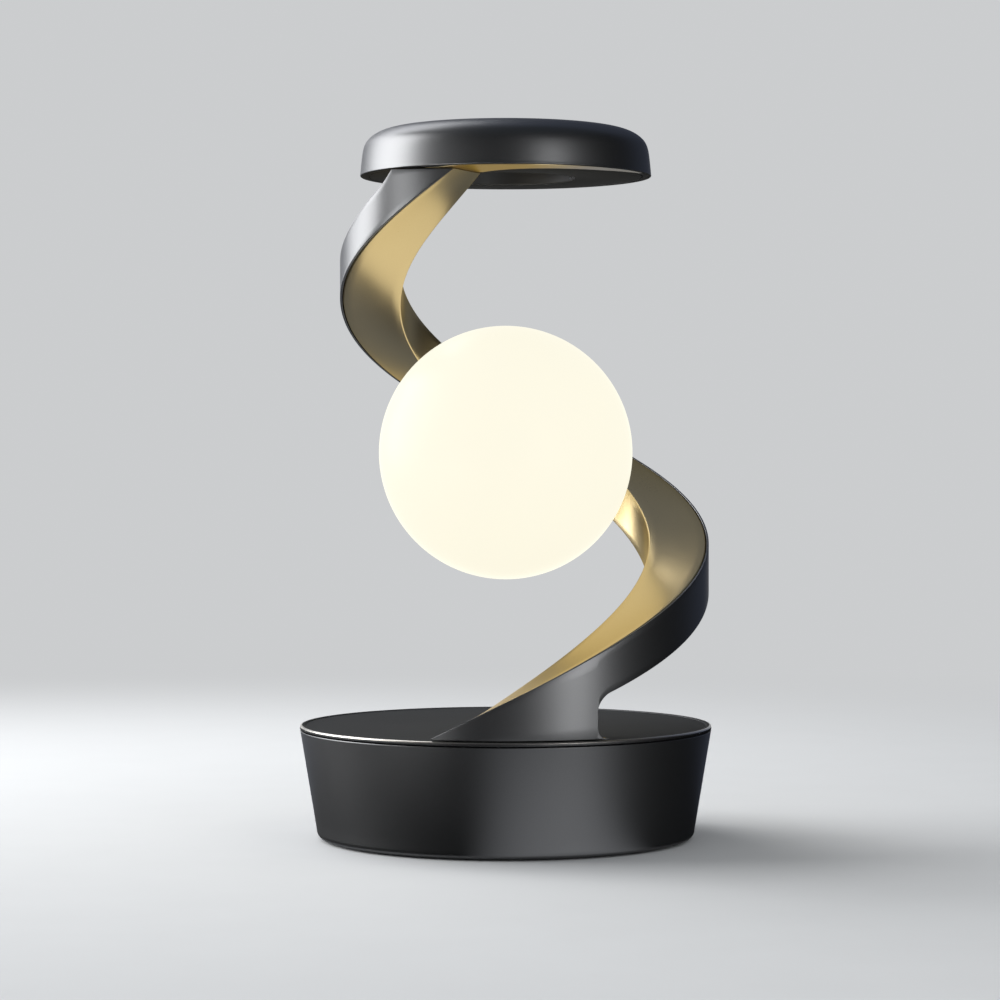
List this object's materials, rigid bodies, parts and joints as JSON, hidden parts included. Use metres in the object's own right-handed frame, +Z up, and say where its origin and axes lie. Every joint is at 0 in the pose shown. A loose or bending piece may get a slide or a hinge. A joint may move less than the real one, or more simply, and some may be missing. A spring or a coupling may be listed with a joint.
{
  "type": "table lamp",
  "caption": "Bedside lamp: round base with a motor-driven turntable, a spiral band rising round a lit globe, and a round charging pad on top.",
  "frame": {"origin": "centre of the resting face under the base", "axes": "+Z up; the front, where the band leaves the base, is -Y; the inlet and the button are at the back, +Y"},
  "size_m": [0.127, 0.127, 0.219],
  "materials": {
    "graphite_plastic": "satin moulded plastic, fine grain",
    "gold_paint": "champagne gold, satin",
    "opal_plastic": "opal diffuser, lit from inside",
    "inner_plastic": "moulded",
    "white_nylon": "moulded, self-lubricating",
    "rubber": "soft, non-slip",
    "steel": "zinc plated",
    "aluminium": "machined",
    "copper": "wound enamelled wire",
    "board": "solder-masked board",
    "ferrite": "pressed ferrite",
    "led_yellow": "phosphor-coated",
    "lead_white": "flexible sleeve"
  },
  "bodies": {
    "base": {"base_shell": "graphite_plastic", "bottom_cover": "graphite_plastic", "antislip_ring": "rubber", "ballast_plate": "steel", "ballast_screw_1": "steel", "ballast_screw_2": "steel", "bottom_screw_1": "steel", "bottom_screw_2": "steel", "bottom_screw_3": "steel", "bottom_screw_4": "steel", "board_screw_1": "steel", "board_screw_2": "steel", "control_board": "board", "usb_c_socket": "steel", "mode_switch": "inner_plastic", "motor_can": "steel", "motor_gearbox": "steel", "motor_screw_1": "steel", "motor_screw_2": "steel", "motor_lead": "lead_white", "slip_ring_body": "inner_plastic", "slip_ring_lead": "lead_white", "spindle_bush": "white_nylon", "glide_ring": "white_nylon"},
    "turntable": {"turntable_plate": "graphite_plastic", "foot_screw_1": "steel", "foot_screw_2": "steel", "driven_gear": "white_nylon", "gear_screw_1": "steel", "gear_screw_2": "steel", "gear_screw_3": "steel", "spindle": "aluminium", "spindle_clip": "steel", "slip_ring_rotor": "inner_plastic", "spiral_cover": "graphite_plastic", "spiral_channel": "gold_paint", "globe_shell": "opal_plastic", "globe_collar": "aluminium", "globe_nut": "steel", "led_board": "board", "led_chip_1": "led_yellow", "led_chip_2": "led_yellow", "led_chip_3": "led_yellow", "led_lead": "lead_white", "coil_lead": "lead_white", "pad_top_cover": "graphite_plastic", "pad_bottom_plate": "graphite_plastic", "pad_screw": "steel", "head_screw_1": "steel", "head_screw_2": "steel", "charging_coil": "copper", "ferrite_sheet": "ferrite", "charger_board": "board"},
    "pinion": {"motor_pinion": "white_nylon"},
    "button": {"mode_button": "graphite_plastic"}
  },
  "joints": [
    {"name": "turntable_spin", "type": "hinge", "parent": "base", "child": "turntable", "pos_m": [0, 0, 0.034], "axis": [0, 0, 1], "continuous": true},
    {"name": "motor_spin", "type": "hinge", "parent": "base", "child": "pinion", "pos_m": [-0.03, 0, 0.027], "axis": [0, 0, 1], "continuous": true},
    {"name": "button_press", "type": "slide", "parent": "base", "child": "button", "axis": [0, -1, 0], "range_m": [0, 0.0008], "stiffness_N_per_m": 400}
  ],
  "couplings": [
    {"joint": "motor_spin", "follows": "turntable_spin", "ratio": -4}
  ]
}
